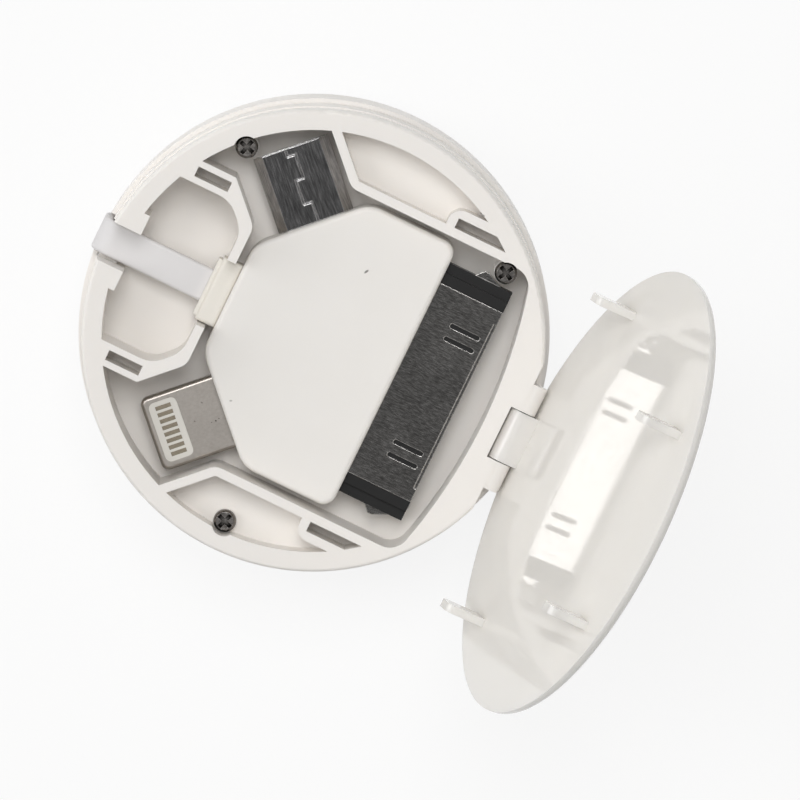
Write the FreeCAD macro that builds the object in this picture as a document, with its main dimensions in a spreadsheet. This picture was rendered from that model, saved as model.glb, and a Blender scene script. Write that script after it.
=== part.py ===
import FreeCAD, Part
import math
import os
import Sketcher
from FreeCAD import Placement, Rotation, Vector

# Retractable cable charger: a round case with a sprung reel below and a lidded tray above.
# The tray holds a connector head with three plugs on a flat ribbon cable.
# Millimetres. The origin is the centre of the base's underside, +X points at the lid hinge.

doc = FreeCAD.newDocument("cable_charger")
sheet = doc.addObject("Spreadsheet::Sheet", "Sizes")


class Size:
    """A length in mm together with the sheet expression that gives it."""

    def __init__(self, value, text):
        self.value = value
        self.text = text

    def _join(self, other, sign, value):
        return Size(value, "(%s %s %s)" % (self.text, sign, other.text))

    def __add__(self, other):
        other = size_of(other)
        return self._join(other, "+", self.value + other.value)

    def __sub__(self, other):
        other = size_of(other)
        return self._join(other, "-", self.value - other.value)

    def __mul__(self, other):
        other = size_of(other)
        return self._join(other, "*", self.value * other.value)

    def __truediv__(self, other):
        other = size_of(other)
        return self._join(other, "/", self.value / other.value)

    def __radd__(self, other):
        return size_of(other) + self

    def __rsub__(self, other):
        return size_of(other) - self

    def __rmul__(self, other):
        return size_of(other) * self

    def __neg__(self):
        return size_of(0) - self


def size_of(number):
    if isinstance(number, Size):
        return number
    return Size(float(number), "(%.9f)" % number)


def root(square):
    return Size(math.sqrt(square.value), "sqrt(%s)" % square.text)


def size(alias, value, note):
    """Writes one driving dimension into the sheet and returns it."""
    size.row += 1
    sheet.set("A%d" % size.row, note)
    sheet.set("B%d" % size.row, "%g" % value)
    sheet.setAlias("B%d" % size.row, alias)
    return Size(float(value), "Sizes.%s" % alias)


size.row = 0

# Case
case_height = size("case_height", 16.05, "underside to rim")
rim_radius = size("rim_radius", 20.17, "outside of the rim")
rim_round = size("rim_round", 0.3, "rounded outer edge of the rim")
rim_width = size("rim_width", 1.75, "flat top of the rim")
hollow_depth = size("hollow_depth", 3.3, "rim to the floor of the hollows outside the ribs")
tray_depth = size("tray_depth", 6.79, "rim to tray floor")
tray_floor = size("tray_floor", 1.1, "thickness of the tray floor")
wall_step = size("wall_step", 0.14, "ledge round the tray wall")
wall_step_drop = size("wall_step_drop", 3.21, "rim to that ledge")
base_step = size("base_step", 0.38, "ledge where the base stands proud of the tray")
base_wall = size("base_wall", 1.7, "wall of the base shell")
base_floor = size("base_floor", 1.19, "floor of the base shell")
base_edge = size("base_edge", 1.47, "rounding of the bottom edge")
tongue_width = size("tongue_width", 0.64, "tongue on the base wall, in a groove of the tray")
tongue_height = size("tongue_height", 0.55, "height of the tongue")
overcut = size("overcut", 1, "cuts run this far past a face")
fit_gap = size("fit_gap", 0.05, "clearance of moulded fits")

# Ribs of the tray
rib = size("rib", 0.8, "thickness of the ribs")
bay_half = size("bay_half", 13.48, "half width of the bay round the head")
bay_end_inset = size("bay_end_inset", 3.76, "end wall of the bay inside the rim")
bay_bow = size("bay_bow", 48.51, "radius of that bowed end wall")
bay_corner = size("bay_corner", 1.83, "corner radius of the bay")
rib_bend = size("rib_bend", 2.85, "where the straight ribs turn outwards, left of centre")
bend_round = size("bend_round", 1.47, "rounding of the rib bends")
pocket_rib = size("pocket_rib", 9.81, "cross rib between head and ribbon, outer face")
pocket_rib_end = size("pocket_rib_end", 3.12, "half gap in the cross rib for the strain relief")
peg_block = size("peg_block", 7.89, "near face of the left peg blocks")
peg_block_width = size("peg_block_width", 2.02, "width of the left peg blocks")
peg_block_end = size("peg_block_end", 11.83, "where the left peg blocks turn into the cross rib")
block_round = size("block_round", 2.7, "inner rounding of the left ribs")
peg_slot_width = size("peg_slot_width", 0.92, "width of the peg slots")
peg_slot_wall = size("peg_slot_wall", 0.55, "near wall of the left peg slots")
far_slot_inset = size("far_slot_inset", 4.58, "left end of the left peg slots inside the rim")
far_slot_length = size("far_slot_length", 3.21, "length of the left peg slots")
near_slot_start = size("near_slot_start", 6.69, "left end of the right peg slots")
near_slot_round = size("near_slot_round", 1.19, "corner of the walls round the right slots")
peg_slot_depth = size("peg_slot_depth", 3.85, "depth of the peg slots")
notch_half = size("notch_half", 1.79, "half width of the cable notch")
notch_boss = size("notch_boss", 1.83, "width of the bosses beside the notch")
notch_boss_depth = size("notch_boss_depth", 0.83, "how far they stand into the tray")

# Screws
screw_inset = size("screw_inset", 2.43, "screw circle inside the rim")
screw_boss = size("screw_boss", 1.04, "radius of the screw columns in the tray")
screw_notch = size("screw_notch", 1.1, "radius of the notch above each screw")
screw_drop = size("screw_drop", 2.93, "rim to the seat of the screw heads")
screw_head = size("screw_head", 1, "radius of the screw head")
screw_head_height = size("screw_head_height", 0.73, "height of the screw head")
screw_crown = size("screw_crown", 0.78, "radius of the flat on the screw head")
screw_shank = size("screw_shank", 0.55, "radius of the screw shank")
screw_length = size("screw_length", 8.71, "shank length")
screw_cross = size("screw_cross", 0.36, "width of the cross recess")
screw_cross_span = size("screw_cross_span", 1.44, "span of the cross recess")
screw_cross_depth = size("screw_cross_depth", 0.46, "depth of the cross recess")
screw_pillar = size("screw_pillar", 1.56, "radius of the screw pillars in the base")
SCREW_ANGLES = (45, 135, 270)
SCREW_TURNS = (62, 75, 70)

# Hinge and lid
hinge_inset = size("hinge_inset", 1, "hinge axis inside the rim")
hinge_drop = size("hinge_drop", 1.19, "rim to hinge axis")
hinge_barrel = size("hinge_barrel", 1.1, "radius of lugs and knuckle")
hinge_flat_inset = size("hinge_flat_inset", 1.28, "flat cut behind the hinge, inside the rim")
hinge_cut = size("hinge_cut", 2.75, "depth of that cut, its ledge stops the lid")
knuckle_half = size("knuckle_half", 2.35, "half width of the lid knuckle")
lug_gap = size("lug_gap", 0.08, "side gap between knuckle and lugs")
lug_width = size("lug_width", 2.57, "width of each lug")
knuckle_room = size("knuckle_room", 0.09, "gap round the knuckle")
pin_radius = size("pin_radius", 0.5, "hinge pin")
pin_clearance = size("pin_clearance", 0.05, "running clearance on the pin")
pin_inset = size("pin_inset", 0.2, "pin ends inside the lug faces")
lid_gap = size("lid_gap", 0.1, "closed lid above the rim")
lid_overhang = size("lid_overhang", 0.2, "lid edge outside the rim")
lid_edge = size("lid_edge", 0.85, "thickness of the lid edge")
lid_crown = size("lid_crown", 0.7, "rise of the lid's top")
lid_round = size("lid_round", 0.65, "rounding of the lid edge")
lid_angle = size("lid_angle", 106.5, "degrees between the closed and the open lid")
peg_length = size("peg_length", 3.58, "length of the lid pegs")
peg_width = size("peg_width", 2.52, "width of the lid pegs")
peg_thickness = size("peg_thickness", 0.73, "thickness of the lid pegs")
peg_back_gap = size("peg_back_gap", 0.18, "gap at the hinge end of the left slots")
near_peg_shift = size("near_peg_shift", 1.24, "gap at the free end of the right slots")
peg_round = size("peg_round", 0.55, "corners of the peg tips")

# Reel
reel_gap = size("reel_gap", 0.3, "gap under and over the reel")
reel_edge = size("reel_edge", 0.41, "gap between the reel and the screw pillars")
flange_bottom = size("flange_bottom", 0.92, "thickness of the lower flange")
flange_top = size("flange_top", 0.92, "thickness of the upper flange at its edge")
hub_top = size("hub_top", 1.74, "thickness of the upper flange round the ratchet track")
hub_radius = size("hub_radius", 11.92, "radius of that thicker hub")
drum_radius = size("drum_radius", 6.88, "outside of the drum")
drum_wall = size("drum_wall", 0.73, "wall of the drum")
post_radius = size("post_radius", 2.29, "fixed post of the reel")
post_clearance = size("post_clearance", 0.06, "running clearance on the post")
coil_edge = size("coil_edge", 0.91, "wound ribbon inside the flange edge")
spring_thickness = size("spring_thickness", 0.25, "spring strip")
spring_pitch = size("spring_pitch", 0.55, "pitch of the spring turns")
spring_turns = size("spring_turns", 6, "turns of the spring")
spring_room = size("spring_room", 0.3, "gap over and under the spring")
spring_tang = size("spring_tang", 1.28, "inner end of the spring in the post")
ball_radius = size("ball_radius", 0.73, "ratchet ball")
track_radius = size("track_radius", 8.71, "free ratchet track")
track_gap = size("track_gap", 0.12, "gap round the ball")
ball_travel = size("ball_travel", 1.47, "outward travel into a ratchet pocket")
ball_lift = size("ball_lift", 0.37, "part of the ball inside the tray floor")
RATCHET_POCKETS = 4

# Ribbon cable
ribbon_width = size("ribbon_width", 3.03, "width of the flat cable")
ribbon_thickness = size("ribbon_thickness", 0.83, "thickness of the flat cable")
ribbon_bend = size("ribbon_bend", 1.19, "bend radius over the notch and into the mouth")
ribbon_sink = size("ribbon_sink", 0.1, "run down the outside, its centre inside the base's face")
ribbon_round = size("ribbon_round", 0.3, "rounded edges of the flat cable")
channel_gap = size("channel_gap", 0.1, "gap behind that run")
mouth_gap = size("mouth_gap", 0.3, "gap over and under the ribbon in its mouth")
notch_under = size("notch_under", 0.25, "gap under the ribbon in the rim notch")

# Connector head
head_height = size("head_height", 4.58, "thickness of the head")
head_front = size("head_front", 7.79, "edge at the dock plug")
head_back = size("head_back", 8.25, "edge at the strain relief")
head_half = size("head_half", 12.79, "half width of the head")
head_slant = size("head_slant", 9.49, "slanted edges from the centre")
head_wall = size("head_wall", 1.1, "wall of the head shells")
head_front_round = size("head_front_round", 1.19, "corners at the dock plug")
head_side_round = size("head_side_round", 2.75, "corners at the slanted edges")
head_edge_round = size("head_edge_round", 0.45, "rounded top and bottom edges")
root_depth = size("root_depth", 1.38, "plug roots inside the head")
root_gap = size("root_gap", 0.02, "clearance round the plug roots")
board_thickness = size("board_thickness", 0.73, "circuit board")
relief_round = size("relief_round", 0.34, "rounded edges of the strain relief")
relief_half = size("relief_half", 3.0, "half width of the strain relief")
relief_nose = size("relief_nose", 2.7, "half width of its root and nose")
relief_length = size("relief_length", 2.2, "length outside the head")
relief_step = size("relief_step", 0.35, "length of the narrower nose")
relief_height = size("relief_height", 2.93, "height of the strain relief")
relief_nose_height = size("relief_nose_height", 2.2, "height of its root and nose")

# Dock plug
dock_front = size("dock_front", 13.9, "front of the dock plug")
dock_half = size("dock_half", 11.1, "half width over the black ends")
dock_shell_half = size("dock_shell_half", 9.22, "half width of the metal shell")
dock_height = size("dock_height", 2.66, "height of the metal shell")
dock_sheet = size("dock_sheet", 0.25, "sheet thickness")
dock_shoulder = size("dock_shoulder", 0.9, "width of the step along the black ends")
dock_shoulder_drop = size("dock_shoulder_drop", 0.35, "depth of that step")
dock_root_half = size("dock_root_half", 10.45, "half width of the root")
dock_root_height = size("dock_root_height", 1.83, "height of the root")
dock_mouth_half = size("dock_mouth_half", 8.44, "half width of the mouth")
dock_mouth_height = size("dock_mouth_height", 1.01, "height of the mouth")
dock_mouth_depth = size("dock_mouth_depth", 3.85, "depth of the mouth")
dock_side_start = size("dock_side_start", 0.37, "side walls of the shell start behind its plates")
dock_slot_start = size("dock_slot_start", 10.22, "start of the shell slots")
dock_slot_length = size("dock_slot_length", 2.84, "length of the shell slots")
dock_slot_width = size("dock_slot_width", 0.39, "width of the shell slots")
dock_slot_centre = size("dock_slot_centre", 5.64, "middle of each pair of slots")
dock_slot_pitch = size("dock_slot_pitch", 1.22, "distance between the slots of a pair")
dock_lip = size("dock_lip", 0.3, "width of the lowered lip along the mouth")
dock_lip_half = size("dock_lip_half", 8.0, "half length of that lip")
dock_lip_drop = size("dock_lip_drop", 0.1, "depth of that lip")
dock_row = size("dock_row", 14.5, "length of the contact row")
dock_pin_width = size("dock_pin_width", 0.26, "width of the contacts")
dock_pin_height = size("dock_pin_height", 0.2, "height of the contacts")
dock_pin_back = size("dock_pin_back", 0.6, "contacts end behind the front")
DOCK_PINS = 30
latch_x = size("latch_x", 11.55, "middle of the latch hooks")
latch_half = size("latch_half", 1.24, "half length of the latch hooks")
latch_rise = size("latch_rise", 0.69, "hooks stand out of the plug's ends")
latch_seat = size("latch_seat", 0.55, "part of the hooks inside the plug at rest")
latch_height = size("latch_height", 0.73, "height of the hooks")
latch_travel = size("latch_travel", 0.55, "inward travel of the hooks")
latch_gap = size("latch_gap", 0.08, "gap round the hooks")

# Side plugs
side_offset = size("side_offset", 3.53, "side plugs beside the diagonal of the case")
blade_tip = size("blade_tip", 16.25, "tip of the blade plug")
blade_width = size("blade_width", 6.7, "width of the blade plug")
blade_height = size("blade_height", 1.5, "thickness of the blade plug")
blade_corner = size("blade_corner", 0.7, "tip corners of the blade plug")
blade_edge = size("blade_edge", 0.35, "rounded long edges of the blade plug")
blade_root_width = size("blade_root_width", 4.58, "width of its root")
blade_root_height = size("blade_root_height", 0.92, "height of its root")
pad_start = size("pad_start", 13.14, "start of the contact pad")
pad_length = size("pad_length", 2.56, "length of the contact pad")
pad_width = size("pad_width", 5.4, "width of the contact pad")
pad_depth = size("pad_depth", 0.35, "depth of the contact pad")
pad_corner = size("pad_corner", 0.55, "corners of the contact pad")
blade_pin_pitch = size("blade_pin_pitch", 0.6, "pitch of the eight contacts")
blade_pin_width = size("blade_pin_width", 0.36, "width of a contact")
blade_pin_length = size("blade_pin_length", 1.4, "length of a contact")
blade_pin_depth = size("blade_pin_depth", 0.15, "contacts sunk into the pad")
BLADE_PINS = 8
micro_tip = size("micro_tip", 16.41, "tip of the micro plug")
micro_width = size("micro_width", 6.85, "width of the micro plug")
micro_height = size("micro_height", 1.8, "thickness of the micro plug")
micro_chamfer = size("micro_chamfer", 0.8, "chamfers beside the upper face")
micro_sheet = size("micro_sheet", 0.25, "sheet thickness")
micro_root_width = size("micro_root_width", 4.95, "width of its root")
micro_root_height = size("micro_root_height", 1.1, "height of its root")
micro_fill = size("micro_fill", 2.38, "core fills the shell this far")
micro_tongue_width = size("micro_tongue_width", 4.03, "width of the tongue")
micro_tongue_back = size("micro_tongue_back", 0.55, "tongue ends behind the tip")
micro_tongue_low = size("micro_tongue_low", 0.05, "underside of the tongue above the plug's middle")
micro_pin_pitch = size("micro_pin_pitch", 0.6, "pitch of the contacts")
micro_pin_width = size("micro_pin_width", 0.32, "width of a contact")
micro_pin_depth = size("micro_pin_depth", 0.12, "height of a contact")
MICRO_PINS = 5
seam_width = size("seam_width", 0.14, "folded seam on the upper face")
seam_depth = size("seam_depth", 0.12, "depth of the seam")
seam_middle = size("seam_middle", 0.14, "middle of the seam beside the plug's axis")
seam_swing = size("seam_swing", 0.36, "seam steps to each side of its middle")
seam_first = size("seam_first", 1.83, "head to the first step of the seam")
seam_step = size("seam_step", 2.2, "length of one seam step")
hook_offset = size("hook_offset", 1.74, "latch hooks beside the plug's middle")
hook_width = size("hook_width", 0.5, "width of the hook springs")
hook_sheet = size("hook_sheet", 0.2, "thickness of the hook springs")
hook_start = size("hook_start", 13.39, "start of the hooks")
hook_length = size("hook_length", 0.83, "length of the hooks")
hook_rise = size("hook_rise", 0.3, "hooks stand out of the shell")
hook_gap = size("hook_gap", 0.1, "gap round the hooks")

doc.recompute()

# Levels and radii that several pieces share
tray_top = case_height - tray_depth
parting = tray_top - tray_floor
rim_inner = rim_radius - rim_width
rim_middle = rim_radius - rim_width / 2
skirt_radius = rim_radius + wall_step
base_radius = skirt_radius + base_step
base_inner = base_radius - base_wall
hinge_z = case_height - hinge_drop
reel_bottom = base_floor + reel_gap
reel_top = parting - reel_gap
coil_bottom = reel_bottom + flange_bottom
coil_top = reel_top - hub_top
mouth_z = (coil_bottom + coil_top) / 2
head_middle = tray_top + head_height / 2
rib_outer = bay_half + rib
ribbon_out = base_radius - ribbon_sink
channel_x = ribbon_out - ribbon_thickness / 2 - channel_gap
side_wall = head_slant
screw_circle = rim_radius - screw_inset
hinge_x = rim_radius - hinge_inset
hinge_flat = rim_radius - hinge_flat_inset
reel_flange = screw_circle - screw_pillar - reel_edge
coil_radius = reel_flange - coil_edge
bay_end = rim_radius - bay_end_inset
far_slot_end = rim_radius - far_slot_inset
lid_radius = rim_radius + lid_overhang
dock_pin_pitch = dock_row / (DOCK_PINS - 1)


class Arc:
    """Marks the next side of an outline as an arc; outlines run counter-clockwise."""

    def __init__(self, radius, hollow=False):
        self.radius = radius
        self.hollow = hollow


class Disc:
    """A circle in a sketch."""

    def __init__(self, x, y, radius):
        self.x = size_of(x)
        self.y = size_of(y)
        self.radius = radius


def new_body(name):
    body = doc.addObject("PartDesign::Body", name)
    body.Label = name
    return body


def bind(feature, prop, value):
    feature.setExpression(prop, size_of(value).text)


def place_sketch(body, name, plane, lift):
    sketch = body.newObject("Sketcher::SketchObject", name)
    origin_plane = [f for f in body.Origin.OriginFeatures if f.Role == plane][0]
    sketch.AttachmentSupport = [(origin_plane, "")]
    sketch.MapMode = "FlatFace"
    bind(sketch, "AttachmentOffset.Base.z", lift)
    return sketch


def bound_constraint(sketch, *args):
    value = args[-1]
    index = sketch.addConstraint(Sketcher.Constraint(*args[:-1], value.value))
    sketch.setExpression("Constraints[%d]" % index, value.text)


def draw_disc(sketch, disc):
    centre = Vector(disc.x.value, disc.y.value, 0)
    geo = sketch.addGeometry(Part.Circle(centre, Vector(0, 0, 1), disc.radius.value))
    bound_constraint(sketch, "DistanceX", -1, 1, geo, 3, disc.x)
    bound_constraint(sketch, "DistanceY", -1, 1, geo, 3, disc.y)
    bound_constraint(sketch, "Radius", geo, disc.radius)


def arc_between(start, end, radius, hollow):
    """The arc that runs counter-clockwise from start to end, or back if hollow."""
    if hollow:
        start, end = end, start
    chord = end - start
    rise = math.sqrt(max(radius * radius - chord.Length * chord.Length / 4, 0))
    left = Vector(-chord.y, chord.x, 0).normalize()
    centre = (start + end) * 0.5 + left * rise
    first = math.atan2(start.y - centre.y, start.x - centre.x)
    last = math.atan2(end.y - centre.y, end.x - centre.x)
    return Part.ArcOfCircle(Part.Circle(centre, Vector(0, 0, 1), radius), first, last)


def draw_outline(sketch, outline):
    """Draws one closed outline, each corner held by two distances from the origin."""
    corners = []
    arcs = []
    for item in outline:
        if isinstance(item, Arc):
            arcs[-1] = item
        else:
            corners.append((size_of(item[0]), size_of(item[1])))
            arcs.append(None)
    points = [Vector(x.value, y.value, 0) for x, y in corners]
    sides = []
    for number, start in enumerate(points):
        end = points[(number + 1) % len(points)]
        arc = arcs[number]
        if arc is None:
            geo = sketch.addGeometry(Part.LineSegment(start, end))
            sides.append((geo, 1, 2))
        else:
            shape = arc_between(start, end, arc.radius.value, arc.hollow)
            geo = sketch.addGeometry(shape)
            sides.append((geo, 2, 1) if arc.hollow else (geo, 1, 2))
    for number, (geo, start, end) in enumerate(sides):
        following = sides[(number + 1) % len(sides)]
        sketch.addConstraint(Sketcher.Constraint("Coincident", geo, end, following[0], following[1]))
        bound_constraint(sketch, "DistanceX", -1, 1, geo, start, corners[number][0])
        bound_constraint(sketch, "DistanceY", -1, 1, geo, start, corners[number][1])
        if arcs[number] is not None:
            bound_constraint(sketch, "Radius", geo, arcs[number].radius)


def draw(body, name, plane, lift, outlines):
    sketch = place_sketch(body, name, plane, lift)
    for outline in outlines:
        if isinstance(outline, Disc):
            draw_disc(sketch, outline)
        else:
            draw_outline(sketch, outline)
    return sketch


def box(x0, x1, y0, y1):
    return [(x0, y0), (x1, y0), (x1, y1), (x0, y1)]


def both_sides(outline):
    """An outline and its mirror image across the X axis, both counter-clockwise."""
    mirrored = [(x, -size_of(y)) for x, y in reversed(outline)]
    return [outline, mirrored]


def pad(body, name, outlines, length, lift=0, plane="XY_Plane", down=False):
    sketch = draw(body, name + "_sketch", plane, lift, outlines)
    feature = body.newObject("PartDesign::Pad", name)
    feature.Profile = sketch
    feature.Reversed = down
    bind(feature, "Length", length)
    doc.recompute()
    return feature


def pocket(body, name, outlines, depth, lift=0, plane="XY_Plane", up=False):
    """Cuts down from the sketch, or up; stops if the cut takes nothing away."""
    before = body.Shape.Volume
    sketch = draw(body, name + "_sketch", plane, lift, outlines)
    feature = body.newObject("PartDesign::Pocket", name)
    feature.Profile = sketch
    feature.Reversed = up
    bind(feature, "Length", depth)
    doc.recompute()
    if feature.Shape.isNull() or feature.Shape.Volume > before - 1e-4:
        raise RuntimeError("%s cuts nothing: %s" % (name, feature.getStatusString()))
    return feature


def revolve(body, name, outline):
    sketch = draw(body, name + "_sketch", "XZ_Plane", 0, [outline])
    feature = body.newObject("PartDesign::Revolution", name)
    feature.Profile = sketch
    feature.ReferenceAxis = (sketch, ["V_Axis"])
    feature.Angle = 360
    doc.recompute()
    return feature


def upright_edges(shape, corners):
    """Names of the vertical edges that stand at the given corners."""
    names = []
    for number, edge in enumerate(shape.Edges):
        box_of = edge.BoundBox
        if box_of.XLength > 1e-3 or box_of.YLength > 1e-3:
            continue
        for x, y in corners:
            if math.hypot(box_of.XMin - size_of(x).value, box_of.YMin - size_of(y).value) < 0.02:
                names.append("Edge%d" % (number + 1))
    return names


def level_edges(shape, z, test=lambda edge: True):
    """Names of the edges that lie level at height z and pass the test."""
    names = []
    for number, edge in enumerate(shape.Edges):
        box_of = edge.BoundBox
        if box_of.ZLength < 1e-3 and abs(box_of.ZMin - size_of(z).value) < 1e-3 and test(edge):
            names.append("Edge%d" % (number + 1))
    return names


def fillet(body, name, edges, radius):
    if not edges:
        raise RuntimeError(name + " finds no edge")
    previous = body.Tip
    feature = body.newObject("PartDesign::Fillet", name)
    feature.Base = (previous, edges)
    bind(feature, "Radius", radius)
    doc.recompute()
    body.Tip = feature
    return feature


def row(body, feature, sketch_axis, length, count):
    """Repeats a feature in a straight row."""
    pattern = body.newObject("PartDesign::LinearPattern", feature.Name + "_row")
    pattern.Originals = [feature]
    pattern.Direction = (feature.Profile[0], [sketch_axis])
    bind(pattern, "Length", length)
    pattern.Occurrences = int(count)
    body.Tip = pattern
    doc.recompute()
    return pattern


def put(body, x=0, y=0, z=0, angle=0):
    """Places a finished piece; the turn is about the vertical."""
    body.Placement = Placement(Vector(0, 0, 0), Rotation(Vector(0, 0, 1), angle))
    bind(body, "Placement.Base.x", x)
    bind(body, "Placement.Base.y", y)
    bind(body, "Placement.Base.z", z)


def on_circle(radius, angle):
    turn = math.radians(angle)
    return radius * math.cos(turn), radius * math.sin(turn)


def at_rim(y):
    """Distance of the middle of the rim from the Y axis at height y of the plan."""
    return root(rim_middle * rim_middle - y * y)


# Base shell: floor, wall with tongue, reel post, screw pillars and the two cable mouths
base = new_body("base_shell")
revolve(base, "base_turn", [
    (0, 0),
    (base_radius, 0),
    (base_radius, parting),
    (base_inner + tongue_width, parting),
    (base_inner + tongue_width, parting + tongue_height),
    (base_inner, parting + tongue_height),
    (base_inner, base_floor),
    (0, base_floor),
])
fillet(base, "base_rounding", level_edges(base.Tip.Shape, 0), base_edge)
screw_places = [on_circle(screw_circle, angle) for angle in SCREW_ANGLES]
pad(base, "base_pillars", [Disc(x, y, screw_pillar) for x, y in screw_places],
    parting - base_floor, base_floor)
pad(base, "base_post", [Disc(0, 0, post_radius)], reel_top - base_floor, base_floor)
pocket(base, "base_pilots", [Disc(x, y, screw_shank) for x, y in screw_places],
       parting - base_floor, parting)
slit_low = -spring_thickness - fit_gap
pocket(base, "base_post_slit", [box(0, post_radius + fit_gap, slit_low, fit_gap)],
       reel_top - reel_bottom, reel_top)
channel = box(-base_radius - overcut, -channel_x, -notch_half, notch_half)
mouth_half = ribbon_thickness / 2 + mouth_gap
pocket(base, "base_channel", [channel], parting - mouth_z + mouth_half, parting)
mouth = box(-base_radius - overcut, -base_inner + overcut, -notch_half, notch_half)
pocket(base, "base_mouth", [mouth], mouth_half * 2, mouth_z + mouth_half)
far_mouth = box(base_inner - overcut, base_radius + overcut, -notch_half, notch_half)
pocket(base, "base_far_mouth", [far_mouth], mouth_half * 2, mouth_z + mouth_half)

# Tray: floor and stepped rim wall, ribs, peg slots, cable notch, screw columns and hinge lugs
tray = new_body("tray")
groove_in = base_inner - fit_gap
groove_out = base_inner + tongue_width + fit_gap
groove_top = parting + tongue_height + fit_gap
revolve(tray, "tray_turn", [
    (0, parting),
    (groove_in, parting),
    (groove_in, groove_top),
    (groove_out, groove_top),
    (groove_out, parting),
    (skirt_radius, parting),
    (skirt_radius, case_height - wall_step_drop),
    (rim_radius, case_height - wall_step_drop),
    (rim_radius, case_height),
    (rim_inner, case_height),
    (rim_inner, tray_top),
    (0, tray_top),
])
rim_edge = level_edges(tray.Tip.Shape, case_height,
                       lambda edge: edge.BoundBox.XMax > rim_middle.value)
fillet(tray, "rim_rounding", rim_edge, rim_round)
rib_end = at_rim(rib_outer)
pad(tray, "bay_block", [[
    (-rib_bend, -rib_outer),
    (rib_end, -rib_outer),
    Arc(rim_middle),
    (rib_end, rib_outer),
    (-rib_bend, rib_outer),
]], tray_depth, tray_top)
bay_corner_x = bay_end - bay_bow + root(bay_bow * bay_bow - bay_half * bay_half)
pocket(tray, "bay", [[
    (-rib_bend - overcut, -bay_half),
    (bay_corner_x, -bay_half),
    Arc(bay_bow),
    (bay_corner_x, bay_half),
    (-rib_bend - overcut, bay_half),
]], tray_depth, case_height)
bay_corners = [(bay_corner_x, bay_half), (bay_corner_x, -bay_half)]
fillet(tray, "bay_rounding", upright_edges(tray.Tip.Shape, bay_corners), bay_corner)

# The straight ribs turn outwards at 45 degrees and run into the rim
leg_sum = rib_bend + bay_half
leg_square = rib_bend * rib_bend + bay_half * bay_half - rim_middle * rim_middle
leg_run = (root(leg_sum * leg_sum - 2 * leg_square) - leg_sum) / 2
bend_outer = rib * math.tan(math.radians(22.5)) - rib_bend
pad(tray, "legs", both_sides([
    (-rib_bend, bay_half),
    (bend_outer, rib_outer),
    (bend_outer - leg_run, rib_outer + leg_run),
    (-rib_bend - leg_run, bay_half + leg_run),
]), tray_depth, tray_top)
bends = [(-rib_bend, bay_half), (-rib_bend, -bay_half)]
fillet(tray, "leg_rounding", upright_edges(tray.Tip.Shape, bends), bend_round)

# Raised floors of the two hollows outside those ribs
rib_middle = bay_half + rib / 2
bend_middle = rib / 2 * math.tan(math.radians(22.5)) - rib_bend
middle_sum = rib_middle - bend_middle
middle_square = rib_middle * rib_middle + bend_middle * bend_middle - rim_middle * rim_middle
middle_run = (root(middle_sum * middle_sum - 2 * middle_square) - middle_sum) / 2
pad(tray, "hollow_floor", [[
    (bend_middle, rib_middle),
    (at_rim(rib_middle), rib_middle),
    Arc(rim_middle),
    (bend_middle - middle_run, rib_middle + middle_run),
]], tray_depth - hollow_depth, tray_top)
pad(tray, "low_hollow_floor", [[
    (bend_middle, -rib_middle),
    (bend_middle - middle_run, -rib_middle - middle_run),
    Arc(rim_middle),
    (at_rim(rib_middle), -rib_middle),
]], tray_depth - hollow_depth, tray_top)

# Left peg blocks, which turn into the cross rib in front of the strain relief
block_far = peg_block + peg_block_width
cross_rib = pocket_rib - rib
block_turn = peg_block_end - pocket_rib
pad(tray, "peg_blocks", both_sides([
    (-at_rim(peg_block), peg_block),
    (-peg_block_end, peg_block),
    (-pocket_rib, peg_block - block_turn),
    (-pocket_rib, pocket_rib_end),
    (-cross_rib, pocket_rib_end),
    (-cross_rib, peg_block - block_turn + rib),
    (-cross_rib - (peg_block_width + block_turn - rib), block_far),
    (-at_rim(block_far), block_far),
]), tray_depth, tray_top)
outer_bends = [
    (-cross_rib, peg_block - block_turn + rib),
    (-cross_rib, block_turn - peg_block - rib),
]
fillet(tray, "block_rounding", upright_edges(tray.Tip.Shape, outer_bends), bend_round)
inner_bends = [
    (-pocket_rib, peg_block - block_turn),
    (-pocket_rib, block_turn - peg_block),
    (-peg_block_end, peg_block),
    (-peg_block_end, -peg_block),
]
fillet(tray, "block_hollow", upright_edges(tray.Tip.Shape, inner_bends), block_round)

# Walls round the right peg slots
near_wall = near_slot_start - rib
near_far = rib_outer + peg_slot_width + rib
pad(tray, "slot_walls", both_sides([
    (near_wall, rib_outer - rib / 2),
    (at_rim(rib_outer - rib / 2), rib_outer - rib / 2),
    (at_rim(near_far), near_far),
    (near_wall, near_far),
]), tray_depth, tray_top)
wall_corners = [(near_wall, near_far), (near_wall, -near_far)]
fillet(tray, "slot_wall_rounding", upright_edges(tray.Tip.Shape, wall_corners), near_slot_round)

# Screw columns and the bosses beside the cable notch
screw_seat = case_height - screw_drop
pad(tray, "screw_columns", [Disc(x, y, screw_boss) for x, y in screw_places],
    screw_seat - tray_top, tray_top)
boss_in = root(rim_inner * rim_inner - notch_half * notch_half) - notch_boss_depth
pad(tray, "notch_bosses", both_sides(
    box(-rim_middle, -boss_in, notch_half, notch_half + notch_boss)), tray_depth, tray_top)

# Peg slots
far_slot_y = peg_block + peg_slot_wall
far_slot_start = far_slot_end - far_slot_length
pocket(tray, "far_slots", both_sides(
    box(-far_slot_end, -far_slot_start, far_slot_y, far_slot_y + peg_slot_width)),
    peg_slot_depth, case_height)
near_slot_y = rib_outer + peg_slot_width
pocket(tray, "near_slots", both_sides([
    (near_slot_start, rib_outer),
    (root(rim_inner * rim_inner - rib_outer * rib_outer), rib_outer),
    (root(rim_inner * rim_inner - near_slot_y * near_slot_y), near_slot_y),
    (near_slot_start, near_slot_y),
]), peg_slot_depth, case_height)

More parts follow.
